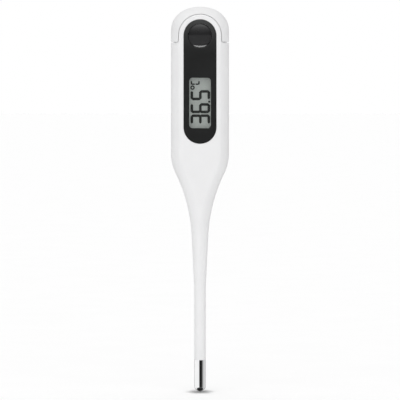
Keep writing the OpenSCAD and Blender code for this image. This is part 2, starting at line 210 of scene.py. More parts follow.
def soften(obj, width, segments, chosen):
    """Rounds the sharp edges for which chosen(middle point) is true."""
    bm = bmesh.new()
    bm.from_mesh(obj.data)
    bmesh.ops.remove_doubles(bm, verts=bm.verts, dist=1e-4)
    bmesh.ops.dissolve_degenerate(bm, edges=bm.edges, dist=1e-4)
    edges = [
        e for e in bm.edges
        if len(e.link_faces) == 2
        and e.calc_face_angle(0) > math.radians(50)
        and chosen((e.verts[0].co + e.verts[1].co) / 2)
    ]
    bmesh.ops.bevel(
        bm, geom=edges, offset=width, offset_type="OFFSET", segments=segments, profile=0.5,
        affect="EDGES", clamp_overlap=True,
    )
    bm.to_mesh(obj.data)
    bm.free()


def complete(obj, body, material, replaced=()):
    """Gives a piece made in millimetres its scale, shading, material, body and slot."""
    obj.data.transform(Matrix.Scale(MM, 4))
    obj.data.shade_smooth()
    obj.data.set_sharp_from_angle(angle=math.radians(35))
    obj.data.materials.clear()
    obj.data.materials.append(material)
    weighted = obj.modifiers.new("normals", "WEIGHTED_NORMAL")
    weighted.keep_sharp = True
    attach(obj, body)
    if replaced:
        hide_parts(*replaced)
    return obj


# ---------------------------------------------------------------- outlines in X and Z
def arc(x, z, r, start, end, steps):
    """Points of an arc, with its angles in degrees from +X towards +Z."""
    turns = [math.radians(start + (end - start) * i / steps) for i in range(steps + 1)]
    return [(x + r * math.cos(t), z + r * math.sin(t)) for t in turns]


def circle(x, z, r, steps=96):
    return arc(x, z, r, 0, 360, steps)[:-1]


def stadium(r, low_z, high_z, steps=48):
    return arc(0, high_z, r, 0, 180, steps) + arc(0, low_z, r, 180, 360, steps)


def rounded_rect(x, z, w, h, r, steps=12):
    corners = [(1, 1, 0), (-1, 1, 90), (-1, -1, 180), (1, -1, 270)]
    return [
        p
        for sx, sz, start in corners
        for p in arc(x + sx * (w / 2 - r), z + sz * (h / 2 - r), r, start, start + 90, steps)
    ]


def grown(outline, amount):
    """The outline moved outwards by an amount, corner by corner."""
    count = len(outline)
    area = sum(
        outline[i][0] * outline[(i + 1) % count][1] - outline[(i + 1) % count][0] * outline[i][1]
        for i in range(count)
    )
    outline = [Vector(p) for p in (outline if area > 0 else reversed(outline))]
    result = []
    for i, p in enumerate(outline):
        before = (p - outline[i - 1]).normalized()
        after = (outline[(i + 1) % count] - p).normalized()
        n1 = Vector((before.y, -before.x))
        n2 = Vector((after.y, -after.x))
        result.append(p + (n1 + n2) * (amount / (1 + n1.dot(n2))))
    return result


def plate(name, outlines, y_front, y_back, rounding=0.0, steps=3):
    """Plate with rounded edges. The first outline goes round it and the others round its holes."""
    bm = bmesh.new()
    rim = {y_front: [], y_back: []}
    for number, outline in enumerate(outlines):
        outward = 1 if number == 0 else -1
        turns = [math.pi / 2 * i / steps for i in range(steps + 1)] if rounding else [math.pi / 2]
        front = [
            (rounding * (1 - math.sin(t)), y_front + rounding * (1 - math.cos(t))) for t in turns
        ]
        back = [(inset, y_front + y_back - y) for inset, y in reversed(front)]
        loops = []
        for inset, y in front + back:
            loops.append([bm.verts.new((p.x, y, p.y)) for p in grown(outline, -inset * outward)])
        count = len(outline)
        for a, b in zip(loops, loops[1:]):
            for i in range(count):
                j = (i + 1) % count
                bm.faces.new((a[i], a[j], b[j], b[i]))
        for y, loop in ((y_front, loops[0]), (y_back, loops[-1])):
            rim[y] += [bm.edges.get((loop[i], loop[(i + 1) % count])) for i in range(count)]
    for edges in rim.values():
        bmesh.ops.triangle_fill(bm, use_beauty=True, use_dissolve=False, edges=edges)
    bmesh.ops.recalc_face_normals(bm, faces=bm.faces)
    mesh = bpy.data.meshes.new(name)
    bm.to_mesh(mesh)
    bm.free()
    return add_object(name, mesh)


def block(name, low, high):
    points = [(x, y, z) for x in (low[0], high[0]) for y in (low[1], high[1]) for z in (low[2], high[2])]
    faces = [(0, 1, 3, 2), (4, 6, 7, 5), (0, 4, 5, 1), (2, 3, 7, 6), (0, 2, 6, 4), (1, 5, 7, 3)]
    return mesh_object(name, points, faces)


def lathe(name, profile, centre=(0, 0, 0), axis="Z", steps=96):
    """Solid of revolution. The profile is a list of (radius, place along the axis), and it is
    closed to a ring where its ends aren't on the axis."""
    points = []
    rings = []
    for r, along in profile:
        ring = []
        for i in range(steps if r > 0 else 1):
            t = 2 * math.pi * i / steps
            p = (r * math.cos(t), r * math.sin(t), along)
            if axis == "Y":
                p = (p[0], along, p[1])
            ring.append(len(points))
            points.append([a + b for a, b in zip(p, centre)])
        rings.append(ring)
    pairs = list(zip(rings, rings[1:]))
    if profile[0][0] > 0 and profile[-1][0] > 0:
        pairs.append((rings[-1], rings[0]))
    faces = []
    for a, b in pairs:
        for i in range(steps):
            j = (i + 1) % steps
            quad = [a[i % len(a)], a[j % len(a)], b[j % len(b)], b[i % len(b)]]
            faces.append(list(dict.fromkeys(quad)))
    return mesh_object(name, points, faces)


# ---------------------------------------------------------------- body surface
def stem_line(z):
    return stem_r + stem_growth * max(0, z - stem_straight_z)


def taper(z, full, z_top, r_top, angle):
    """Half size of the body at height z: straight, then a convex and a concave arc to the stem."""
    lean = math.atan(stem_growth)
    slope = math.radians(angle)
    z_mid = z_top - r_top * math.sin(slope)
    mid = full - r_top * (1 - math.cos(slope))
    swing = math.sin(slope) - math.sin(lean)
    r_low = (mid - stem_line(z_mid)) / (math.cos(lean) - math.cos(slope) - stem_growth * swing)
    if z >= z_top:
        return full
    if z >= z_mid:
        return full - r_top + math.sqrt(r_top ** 2 - (z_top - z) ** 2)
    if z >= z_mid - r_low * swing:
        offset = z - z_mid + r_low * math.sin(slope)
        return mid + r_low * math.cos(slope) - math.sqrt(r_low ** 2 - offset ** 2)
    return stem_line(z)


# How finely the surface is divided
edge_steps = 28
crease_steps = 4
crown_steps = 40
level_step = 0.7
# Limits on the arc that softens the crease: its least turn, and its share of the flat face
least_lean = 0.02
flat_share = 0.8


def turn_at(w):
    """Turn of the edge's curve at the front and the back, for a body of half width w."""
    share = (w - round_half) / (crease_half - round_half)
    return 90 - (90 - edge_turn) * min(1, max(0, share))


def edge_points(x, z, nx, nz, edge, depth, turn, flat):
    """One side of a ring, from the front round the edge to the back. The crease between the edge
    and the flat face, which is flat wide, is softened by a small arc."""
    turn = math.radians(turn)
    wide = edge / (1 - math.cos(turn))
    high = depth / math.sin(turn)
    lean = max(least_lean, math.atan2(high * math.cos(turn), wide * math.sin(turn)))
    r = min(crease_r, flat_share * flat / math.tan(lean / 2))
    start = edge + r * math.tan(lean / 2)
    curve = []
    for i in range(crease_steps):
        t = lean * i / crease_steps
        curve.append((start - r * math.sin(t), r * (1 - math.cos(t)) - depth))
    reach = math.acos(1 - (start - r * math.sin(lean)) / wide)
    half = edge_steps // 2
    for i in range(half):
        t = reach * (1 - i / half)
        curve.append((wide * (1 - math.cos(t)), -high * math.sin(t)))
    curve += [(0, 0)] + [(inward, -y) for inward, y in reversed(curve)]
    return [(x + nx * inward, y, z + nz * inward) for inward, y in curve]


def crown_side(angle, inset):
    a = half_width - inset
    b = crown_height - inset
    c = max(0, math.cos(math.radians(angle))) ** (2 / crown_power)
    s = math.sin(math.radians(angle)) ** (2 / crown_power)
    gx = c ** (crown_power - 1) / a
    gz = s ** (crown_power - 1) / b
    g = math.hypot(gx, gz)
    return edge_points(
        a * c, crown_z + b * s, -gx / g, -gz / g,
        edge_width - inset, half_depth - inset, edge_turn, crown_flat,
    )


def level_side(z, inset):
    w = taper(z, half_width, shoulder_z, shoulder_r, shoulder_angle) - inset
    depth = taper(z, half_depth, flank_z, flank_r, flank_angle) - inset
    edge = min(edge_width - inset, w - least_flat)
    return edge_points(w, z, -1, 0, edge, depth, turn_at(w + inset), w - edge)


def body_solid(name, inset, z_low):
    """Solid inside the body's surface moved inwards by inset, from z_low up to the crown."""
    # Heights of the rings below the crown: close together where the body tapers
    count = round((flank_z - taper_end_z) / level_step)
    levels = [crown_z - 6, 104, 96, 88]
    levels += [flank_z - level_step * i for i in range(count + 1)]
    levels += [46, 42, 38, stem_straight_z, 30, 24, 17]
    levels = [z for z in levels if z > z_low] + [z_low]
    sides = [crown_side(90 * i / crown_steps, inset) for i in range(crown_steps - 1, -1, -1)]
    sides += [level_side(z, inset) for z in levels]
    points = list(crown_side(90, inset))
    side = len(points)
    steps = side - 1
    ring = 2 * side
    for s in sides:
        points += s
        points += [(-x, y, z) for x, y, z in reversed(s)]
    faces = []
    for i in range(steps):
        faces.append((i, i + 1, side + i + 1, side + i))
        faces.append((i, side + ring - 1 - i, side + ring - 2 - i, i + 1))
    faces.append((0, side, side + ring - 1))
    faces.append((steps, side + steps + 1, side + steps))
    for k in range(len(sides) - 1):
        for i in range(ring):
            a = side + k * ring + i
            b = side + k * ring + (i + 1) % ring
            faces.append((a, b, b + ring, a + ring))
    last = side + (len(sides) - 1) * ring
    faces.append(tuple(last + i for i in range(ring)))
    return mesh_object(name, points, faces)


def tongue_line(grow):
    """Outline of the tongue with its filleted feet on the seam, open at the bottom, from right to
    left."""
    r = tongue_r + grow
    foot_z = seam_z - seam_gap / 2 + grow
    fillet = tongue_fillet - grow
    right = arc(r + fillet, foot_z + fillet, fillet, 270, 180, 10)
    left = [(-x, z) for x, z in reversed(right)]
    return right + arc(0, button_z, r, 0, 180, 64) + left


# ---------------------------------------------------------------- materials
def material(name, colour, roughness=0.4, metallic=0.0):
    """A principled material of one colour."""
    mat = bpy.data.materials.new(name)
    mat.use_nodes = True
    tree = mat.node_tree
    shader = tree.nodes["Principled BSDF"]
    shader.inputs["Base Color"].default_value = (*colour, 1)
    shader.inputs["Roughness"].default_value = roughness
    shader.inputs["Metallic"].default_value = metallic
    return mat


def node(tree, kind, inputs=None, **settings):
    """Adds a node. Its inputs take values or links, and settings are the node's own properties."""
    new = tree.nodes.new(kind)
    for key, value in settings.items():
        setattr(new, key, value)
    for key, value in (inputs or {}).items():
        if isinstance(value, bpy.types.NodeSocket):
            tree.links.new(value, new.inputs[key])
        else:
            new.inputs[key].default_value = value
    return new


def noise(tree, scale, detail=3.0, stretch=(1, 1, 1)):
    """Noise over the object, with its size set by scale in steps per metre."""
    place = node(tree, "ShaderNodeTexCoord")
    mapping = node(tree, "ShaderNodeMapping", {"Vector": place.outputs["Object"], "Scale": stretch})
    return node(
        tree, "ShaderNodeTexNoise",
        {"Vector": mapping.outputs["Vector"], "Scale": scale, "Detail": detail},
    ).outputs["Fac"]


def ramp(tree, factor, low, high, start=0.3, end=0.7):
    """Colour between low and high as the factor goes from start to end."""
    blend = node(tree, "ShaderNodeValToRGB", {"Fac": factor})
    blend.color_ramp.elements[0].position = start
    blend.color_ramp.elements[0].color = (*low, 1)
    blend.color_ramp.elements[1].position = end
    blend.color_ramp.elements[1].color = (*high, 1)
    return blend.outputs["Color"]


def map_range(tree, value, from_min, from_max, to_min, to_max):
    return node(
        tree, "ShaderNodeMapRange",
        {"Value": value, "From Min": from_min, "From Max": from_max, "To Min": to_min, "To Max": to_max},
    ).outputs["Result"]


def plastic(name, low, high, rough, grain=4000, strength=0.12, **extra):
    """Moulded plastic: faint clouding of its colour, a fine spark-eroded grain and uneven gloss."""
    mat = material(name, low, rough[0])
    tree = mat.node_tree
    shader = tree.nodes["Principled BSDF"]
    cloud = noise(tree, 120, 4)
    tree.links.new(ramp(tree, cloud, low, high), shader.inputs["Base Color"])
    gloss = map_range(tree, noise(tree, 350, 3), 0.3, 0.7, rough[0], rough[1])
    tree.links.new(gloss, shader.inputs["Roughness"])
    bump = node(
        tree, "ShaderNodeBump",
        {"Height": noise(tree, grain, 2), "Strength": strength, "Distance": 0.02 * MM},
    )
    tree.links.new(bump.outputs["Normal"], shader.inputs["Normal"])
    for socket, value in extra.items():
        shader.inputs[socket.replace("_", " ")].default_value = value
    return mat


def metal(name, low, high, rough, stretch=(1, 1, 1), scale=900, strength=0.05):
    """Metal with fine rolled or turned marks along one direction."""
    mat = material(name, low, rough[0], 1.0)
    tree = mat.node_tree
    shader = tree.nodes["Principled BSDF"]
    marks = noise(tree, scale, 4, stretch)
    tree.links.new(ramp(tree, noise(tree, 300, 4), low, high), shader.inputs["Base Color"])
    tree.links.new(map_range(tree, marks, 0.3, 0.7, rough[0], rough[1]), shader.inputs["Roughness"])
    bump = node(
        tree, "ShaderNodeBump", {"Height": marks, "Strength": strength, "Distance": 0.01 * MM}
    )
    tree.links.new(bump.outputs["Normal"], shader.inputs["Normal"])
    return mat


def place_axis(tree, axis):
    """One coordinate of the object's own space, in metres."""
    place = node(tree, "ShaderNodeTexCoord")
    split = node(tree, "ShaderNodeSeparateXYZ", {"Vector": place.outputs["Object"]})
    return split.outputs[axis]


def tint(mat, factor, colour):
    """Lays a colour over the base colour of a material where factor is high."""
    tree = mat.node_tree
    socket = tree.nodes["Principled BSDF"].inputs["Base Color"]
    mix = node(tree, "ShaderNodeMix", data_type="RGBA")
    tree.links.new(factor, mix.inputs["Factor"])
    tree.links.new(socket.links[0].from_socket, mix.inputs["A"])
    mix.inputs["B"].default_value = (*colour, 1)
    tree.links.new(mix.outputs["Result"], socket)


def maths(tree, operation, a, b=0.0, c=0.0):
    new = node(tree, "ShaderNodeMath", operation=operation)
    for socket, value in zip(new.inputs, (a, b, c)):
        if isinstance(value, bpy.types.NodeSocket):
            tree.links.new(value, socket)
        else:
            socket.default_value = value
    return new.outputs[0]


def wave(tree, axis, pace):
    """Sine wave along one axis of the object, at a pace in radians per metre."""
    return maths(tree, "SINE", maths(tree, "MULTIPLY", place_axis(tree, axis), pace))


def panel_with_painted_sheen():
    """Back-printed black panel with a painted sheen: its colour lightens towards the top."""
    mat = plastic("black_gloss", (0.016, 0.0165, 0.0165), (0.020, 0.0205, 0.0205), (0.16, 0.22))
    tree = mat.node_tree
    height = map_range(tree, place_axis(tree, "Z"), 108 * MM, 121.5 * MM, 0, 1)
    # Painted sheen: the base colour lightens towards the top in place of a reflection
    tint(mat, maths(tree, "MULTIPLY", height, height), (0.062, 0.063, 0.063))
    return mat


def striped_rubber():
    """Black rubber with pale layers, two to the millimetre."""
    mat = plastic("zebra_rubber", (0.05, 0.05, 0.052), (0.07, 0.07, 0.072), (0.6, 0.75))
    tree = mat.node_tree
    stripes = map_range(tree, wave(tree, "Z", 12500), -0.2, 0.2, 0, 1)
    tint(mat, stripes, (0.42, 0.42, 0.40))
    return mat


def board_green():
    """Green solder mask with lighter copper traces under it and bare pads."""
    mat = plastic("solder_mask", (0.012, 0.10, 0.035), (0.018, 0.13, 0.05), (0.25, 0.35))
    tree = mat.node_tree
    place = node(tree, "ShaderNodeTexCoord").outputs["Object"]
    cells = node(
        tree, "ShaderNodeTexVoronoi", {"Vector": place, "Scale": 420.0, "Randomness": 0.75},
        distance="CHEBYCHEV", feature="F1",
    )
    split = node(tree, "ShaderNodeSeparateColor", {"Color": cells.outputs["Color"]})
    across = wave(tree, "X", 7000)
    along = wave(tree, "Z", 7000)
    pick = maths(tree, "GREATER_THAN", split.outputs[0], 0.5)
    lines = node(tree, "ShaderNodeMix", {"Factor": pick}, data_type="FLOAT")
    tree.links.new(across, lines.inputs["A"])
    tree.links.new(along, lines.inputs["B"])
    traces = maths(tree, "GREATER_THAN", lines.outputs["Result"], 0.45)
    kept = maths(tree, "GREATER_THAN", split.outputs[1], 0.35)
    tint(mat, maths(tree, "MULTIPLY", traces, kept), (0.03, 0.20, 0.075))
    pads = maths(tree, "LESS_THAN", cells.outputs["Distance"], 0.16)
    chosen = maths(tree, "GREATER_THAN", split.outputs[2], 0.72)
    tint(mat, maths(tree, "MULTIPLY", pads, chosen), (0.62, 0.60, 0.52))
    return mat


def chip_tan():
    """Small ceramic parts, 1.5 and 5 mm to each side of the middle, with tinned ends."""
    mat = plastic("chip_ceramic", (0.30, 0.19, 0.10), (0.36, 0.24, 0.13), (0.35, 0.5))
    tree = mat.node_tree
    x = maths(tree, "ABSOLUTE", place_axis(tree, "X"))
    outer = maths(tree, "ABSOLUTE", maths(tree, "SUBTRACT", x, 5 * MM))
    inner = maths(tree, "ABSOLUTE", maths(tree, "SUBTRACT", x, 1.5 * MM))
    ends = maths(tree, "GREATER_THAN", maths(tree, "MINIMUM", outer, inner), 0.28 * MM)
    tint(mat, ends, (0.66, 0.66, 0.65))
    tree.links.new(ends, tree.nodes["Principled BSDF"].inputs["Metallic"])
    return mat


def wire_colours():
    """Insulation: red on the wire at +X and black on the wire at -X."""
    mat = plastic("wire_insulation", (0.45, 0.03, 0.02), (0.52, 0.045, 0.03), (0.3, 0.4))
    tree = mat.node_tree
    tint(mat, maths(tree, "LESS_THAN", place_axis(tree, "X"), 0.0), (0.02, 0.02, 0.02))
    return mat


def clear_glass(name, low, high):
    mat = plastic(name, low, high, (0.02, 0.05), 900, 0.02, IOR=1.52)
    mat.node_tree.nodes["Principled BSDF"].inputs["Transmission Weight"].default_value = 0.9
    return mat


white_plastic = plastic(
    "white_plastic", (0.80, 0.80, 0.805), (0.825, 0.825, 0.83), (0.30, 0.36), Specular_IOR_Level=0.3
)
black_gloss = panel_with_painted_sheen()
button_black = plastic(
    "button_black", (0.017, 0.017, 0.018), (0.021, 0.021, 0.022), (0.17, 0.21), 4000, 0.03, IOR=1.6
)
film_grey = plastic("film_grey", (0.345, 0.375, 0.355), (0.375, 0.405, 0.385), (0.45, 0.55))
segment_black = plastic("segment_black", (0.006, 0.008, 0.007), (0.010, 0.013, 0.011), (0.5, 0.6))
lens_clear = plastic(
    "lens_clear", (0.04, 0.042, 0.041), (0.05, 0.052, 0.051), (0.06, 0.10), 4000, 0.01, Alpha=0.04
)
lens_clear.surface_render_method = "BLENDED"
tip_steel = metal(
    "polished_steel", (0.83, 0.835, 0.84), (0.87, 0.87, 0.875), (0.03, 0.06), (0.15, 0.15, 4)
)
cell_nickel = metal("cell_nickel", (0.60, 0.59, 0.56), (0.68, 0.67, 0.64), (0.18, 0.32), (1, 0.2, 1))
frame_white = plastic("frame_white", (0.66, 0.66, 0.63), (0.72, 0.72, 0.69), (0.45, 0.55))
spring_gold = metal("spring_gold", (0.72, 0.53, 0.22), (0.80, 0.60, 0.27), (0.2, 0.32), (1, 1, 0.15))
silicone = plastic("silicone", (0.40, 0.40, 0.41), (0.48, 0.48, 0.49), (0.4, 0.55))
dome_steel = metal("dome_steel", (0.62, 0.62, 0.61), (0.70, 0.70, 0.69), (0.15, 0.28), (1, 1, 0.1))
carried_over = {
    "lcd_front_polariser": film_grey,
    "lcd_front_glass": clear_glass("front_glass", (0.85, 0.9, 0.87), (0.9, 0.95, 0.92)),
    "lcd_rear_glass": clear_glass("rear_glass", (0.80, 0.87, 0.83), (0.86, 0.92, 0.88)),
    "lcd_reflector": plastic("pearl_film", (0.34, 0.38, 0.35), (0.42, 0.46, 0.43), (0.3, 0.42)),
    "zebra_strip": striped_rubber(),
    "panel_adhesive": plastic(
        "foam_tape", (0.02, 0.02, 0.02), (0.05, 0.05, 0.05), (0.7, 0.9), 2500, 0.8
    ),
    "inner_frame": frame_white,
    "battery_holder": frame_white,
    "circuit_board": board_green(),
    "controller_blob": plastic("epoxy_blob", (0.012, 0.012, 0.013), (0.02, 0.02, 0.021), (0.08, 0.2)),
    "chip_components": chip_tan(),
    "board_screws": metal("zinc_steel", (0.55, 0.56, 0.58), (0.66, 0.67, 0.68), (0.25, 0.4)),
    "cell_gasket": plastic("nylon", (0.60, 0.58, 0.52), (0.68, 0.66, 0.60), (0.4, 0.5)),
    "positive_contact": spring_gold,
    "negative_contact": spring_gold,
    "buzzer_plate": metal(
        "rolled_brass", (0.66, 0.45, 0.16), (0.76, 0.54, 0.22), (0.2, 0.36), (0.1, 1, 1)
    ),
    "buzzer_ceramic": metal("silvered_ceramic", (0.70, 0.69, 0.66), (0.80, 0.79, 0.76), (0.35, 0.5)),
    "buzzer_wires": wire_colours(),
    "thermistor_bead": plastic("bead_glass", (0.015, 0.014, 0.014), (0.03, 0.028, 0.028), (0.1, 0.2)),
    "thermistor_leads": plastic("enamel", (0.40, 0.13, 0.03), (0.50, 0.18, 0.05), (0.2, 0.3)),
    "tip_potting": plastic("resin", (0.36, 0.36, 0.34), (0.44, 0.44, 0.42), (0.25, 0.4)),
}


# ---------------------------------------------------------------- shells
# Far sides of the cutters, which only have to lie past the body
far_x = 30
far_y = 20
far_z = 140
# Lower end of the solids for the cover, well below the seam
cover_low_z = crown_z - 10


def on_front(p):
    """True for a point on the outer front of the body."""
    return p.y < 0.1 - half_depth


def seam_groove():
    """Cutter for the visible part of the seam, a shallow groove. Behind it the shells nearly meet."""
    low_z = seam_z - groove_height / 2
    high_z = seam_z + groove_height / 2
    side_x = tongue_r + tongue_fillet
    overlap_y = tongue_back_y + 0.5
    groove = block("seam_groove", (-far_x, tongue_back_y, low_z), (far_x, far_y, high_z))
    front = [
        block("front", (side_x, -far_y, low_z), (far_x, overlap_y, high_z)),
        block("front", (-far_x, -far_y, low_z), (-side_x, overlap_y, high_z)),
    ]
    combine(groove, front, "UNION")
    combine(groove, [body_solid("core", groove_depth, cover_low_z)])
    return groove


def make_housing():
    shell = body_solid("housing_shell", 0, tip_length)
    foot_z = seam_z - seam_gap_inside / 2
    side_x = tongue_r + tongue_fillet + 0.05
    zone = [(far_x, foot_z), (side_x, foot_z)] + tongue_line(0)
    zone += [(-side_x, foot_z), (-far_x, foot_z), (-far_x, far_z), (far_x, far_z)]
    cutters = [
        body_solid("cavity", wall, tip_length - 0.5),
        plate("front_zone", [zone], -far_y, tongue_back_y),
        block("back_zone", (-far_x, tongue_back_y - 0.01, foot_z), (far_x, far_y, far_z)),
        plate("pocket", [stadium(panel_r + fit_gap, panel_low_z, button_z)], -far_y, pocket_y),
        plate(
            "opening",
            [rounded_rect(
                0, window_z, window_width + 2 * opening_margin,
                window_height + 2 * opening_margin, window_corner + opening_margin,
            )],
            -far_y, inside_y + 1,
        ),
        plate("button_hole", [circle(0, button_z, button_r + button_gap)], -far_y, inside_y + 1),
        seam_groove(),
    ]
    combine(shell, cutters)
    bore = stem_r - wall
    neck_r = tip_r - tip_wall - neck_gap
    neck_low = tip_length - neck_length
    neck_high = tip_length + 0.3
    chamfer = 0.15
    neck = lathe("neck", [
        (bore, neck_low), (neck_r - chamfer, neck_low), (neck_r, neck_low + chamfer),
        (neck_r, neck_high), (bore, neck_high),
    ])
    combine(shell, [neck], "UNION")
    soften(shell, front_bevel, 2, on_front)
    return shell


def make_cover():
    shell = body_solid("cover_shell", 0, cover_low_z)
    foot_z = seam_z + seam_gap_inside / 2
    line = tongue_line(seam_gap)
    notch = line + [(line[-1][0], foot_z - 3), (line[0][0], foot_z - 3)]
    cutters = [
        body_solid("cavity", wall, cover_low_z - 1),
        block("below", (-far_x, -far_y, 0), (far_x, far_y, foot_z)),
        plate("notch", [notch], -far_y, tongue_back_y + seam_gap),
        seam_groove(),
    ]
    grip_y = half_depth + grip_r - grip_depth
    for z in grip_heights:
        groove = plate("grip_groove", [circle(0, z, grip_r, 32)], -grip_half, grip_half)
        groove.data.transform(Matrix.Rotation(math.radians(90), 4, "Z"))
        groove.data.transform(Matrix.Translation((0, grip_y, 0)))
        cutters.append(groove)
    combine(shell, cutters)
    soften(shell, front_bevel, 2, on_front)
    return shell


def make_button():
    """Round button with a scoop: its face is a grid of rings, each lowered by the scoop."""
    low_z = button_z - button_r
    rise = button_z + button_r - scoop_z
    scoop_r = (rise ** 2 + scoop_depth ** 2) / (2 * scoop_depth)
    steps = 128

    def lowered(r, t):
        """Depth of the face at radius r and angle t. Its lowest part rises again to a lip."""
        z = button_z + r * math.sin(t)
        if z >= scoop_z:
            depth = scoop_depth - scoop_r + math.sqrt(scoop_r ** 2 - (z - scoop_z) ** 2)
        else:
            depth = lip_depth + (scoop_depth - lip_depth) * (z - lip_z) / (scoop_z - lip_z)
            up = (1 - lip_round_share) * (z - low_z) + lip_round_share * (button_r - r)
            aside = r * math.cos(t)
            lip = lip_rim_depth + lip_slope * up * (1 + lip_side_growth * aside ** 2)
            near = max(0, lip_blend - abs(depth - lip))
            depth = min(depth, lip) - near ** 2 / (4 * lip_blend)
        return max(0, depth)

    coarse = [0.15 * i for i in range(1, 18)]
    fine = [coarse[-1] + 0.05 * i for i in range(1, 24)]
    rounding = 0.07
    profile = [(r, None, 0) for r in coarse + fine]
    for i in range(1, 5):
        t = math.pi / 2 * i / 4
        profile.append((
            button_r - rounding + rounding * math.sin(t), None, rounding * (1 - math.cos(t))
        ))
    edge = 0.05
    end = 0.1
    profile += [(button_r, flange_front_y, 0), (flange_r - edge, flange_front_y, 0)]
    profile += [(flange_r, flange_front_y + edge, 0), (flange_r, flange_back_y - edge, 0)]
    profile += [(flange_r - edge, flange_back_y, 0), (plunger_r, flange_back_y, 0)]
    profile += [(plunger_r, button_back_y - end, 0), (plunger_r - end, button_back_y, 0)]
    points = [(0, button_face_y + lowered(0, 0), button_z)]
    rings = []
    for r, fixed_y, sink in profile:
        ring = []
        for i in range(steps):
            t = 2 * math.pi * i / steps
            z = button_z + r * math.sin(t)
            y = button_face_y + lowered(r, t) + sink if fixed_y is None else fixed_y
            ring.append(len(points))
            points.append((r * math.cos(t), y, z))
        rings.append(ring)
    faces = [(0, rings[0][i], rings[0][(i + 1) % steps]) for i in range(steps)]
    for a, b in zip(rings, rings[1:]):
        faces += [(a[i], a[(i + 1) % steps], b[(i + 1) % steps], b[i]) for i in range(steps)]
    faces.append(tuple(rings[-1]))
    return mesh_object("button_cap", points, faces)


def make_lens():
    """Clear window: a plate flush with the panel on a thinner flange behind it."""
    outline = rounded_rect(0, window_z, window_width, window_height, window_corner)
    lens = plate("display_lens", [grown(outline, -fit_gap)], panel_y, panel_back_y + 0.01, 0.06)
    flange = plate("flange", [grown(outline, lens_flange)], panel_back_y, pocket_y, 0.02)
    combine(lens, [flange], "UNION")
    return lens


def make_tip():
    """Drawn steel cap: straight wall, rounded end, and a rolled-in upper edge."""
    def dome(r, depth, z):
        turns = [math.pi / 2 * i / 24 for i in range(25)]
        return [(r * math.sin(t), z + depth - depth * math.cos(t)) for t in turns]
    outer = dome(tip_r, tip_dome, 0)
    outer[0] = (0, 0)
    inner = dome(tip_r - tip_wall, tip_dome - tip_wall, tip_wall)
    inner[0] = (0, tip_wall)
    edge = 0.07
    lip = [
        (tip_r, 3), (tip_r, 6), (tip_r, tip_length - 0.3), (tip_r, tip_length - edge),
        (tip_r - edge * 0.3, tip_length - edge * 0.3),
        (tip_r - edge, tip_length), (tip_r - tip_wall + 0.02, tip_length),
        (tip_r - tip_wall, tip_length - 0.05),
    ]
    return lathe("metal_tip", outer + lip + list(reversed(inner)), steps=128)


def rim(radius, face, inward, r=0.3):
    """Profile of a rounded rim, from a face to the side. Inward is 1 or -1, the way along the axis
    from the face into the piece."""
    turns = [math.pi / 2 * i / 6 for i in range(7)]
    return [(radius - r + r * math.sin(t), face + inward * r * (1 - math.cos(t))) for t in turns]


def make_can():
    """Can of the button cell, open to the front, with a pressed ring on its back."""
    radius = (cell_high[0] - cell_low[0]) / 2
    front = cell_low[1]
    back = cell_high[1]
    play = 0.02
    inside = gasket_high[0] + play
    bottom = gasket_high[1] + play
    profile = [(0, back), (2.35, back), (2.45, back - 0.05), (2.65, back - 0.05), (2.75, back)]
    profile += rim(radius, back, -1)
    profile += [(radius, front + 0.25), (radius - 0.06, front + 0.08), (radius - 0.14, front)]
    profile += [(inside, front), (inside, bottom), (0, bottom)]
    return lathe("button_cell_can", profile, (0, 0, (cell_low[2] + cell_high[2]) / 2), "Y")


def make_cap():
    """Cap of the button cell, with a rounded rim."""
    radius = (cap_high[0] - cap_low[0]) / 2
    front = cap_low[1]
    profile = [(0, front), (1.9, front), (2.0, front + 0.04), (2.15, front + 0.04), (2.25, front)]
    profile += rim(radius, front, 1)
    profile += [(radius, cap_high[1]), (0, cap_high[1])]
    return lathe("button_cell_cap", profile, (0, 0, (cap_low[2] + cap_high[2]) / 2), "Y")


def make_seal():
    """Silicone membrane: a rim, a thin web and a bead round the hole for the plunger."""
    outer = seal_high[0]
    front = seal_low[1]
    back = seal_high[1]
    web = back - 0.2
    inner = outer - 0.95
    profile = [(inner, web), (inner, front + 0.05), (inner + 0.05, front), (outer - 0.1, front)]
    profile += [(outer, front + 0.1), (outer, back - 0.1), (outer - 0.1, back)]
    profile += [(1.75, back), (1.65, back + 0.1), (1.4, back + 0.1), (1.3, back), (1.3, web)]
    return lathe("silicone_seal", profile, (0, 0, button_z), "Y")


def make_dome():
    """Snap dome of thin spring steel, with a flat foot and a raised middle."""
    outer = dome_high[0]
    foot = dome_high[1]
    top = dome_low[1]
    brim = foot - 0.1
    thickness = 0.07
    line = [(outer, foot - 0.08), (outer - 0.3, brim)]
    for i in range(9):
        t = math.pi / 2 * i / 8
        line.append(((outer - 0.4) * math.cos(t), brim - (brim - top) * math.sin(t)))
    under = [(r, y + thickness) for r, y in line if r > 0.01]
    line[-1] = (0, top)
    profile = list(reversed(line)) + [(outer, foot)] + under[1:] + [(0, top + thickness)]
    return lathe("snap_dome", profile, (0, 0, button_z), "Y")


# ---------------------------------------------------------------- display
def thin_plate(name, outlines):
    """A mark of the display: a very thin plate on the front of the film."""
    return plate(name, outlines, film_y - 0.03, film_y + 0.005, 0.008, 1)


def segment(x, z, length, along_z, width):
    """One bar of a digit with pointed ends, centred at x and z."""
    half = length / 2
    point = width / 2
    shape = [
        (half, 0), (half - point, point), (point - half, point),
        (-half, 0), (point - half, -point), (half - point, -point),
    ]
    outline = [(x + v, z + u) if along_z else (x + u, z + v) for u, v in shape]
    return thin_plate("bar", [outline])


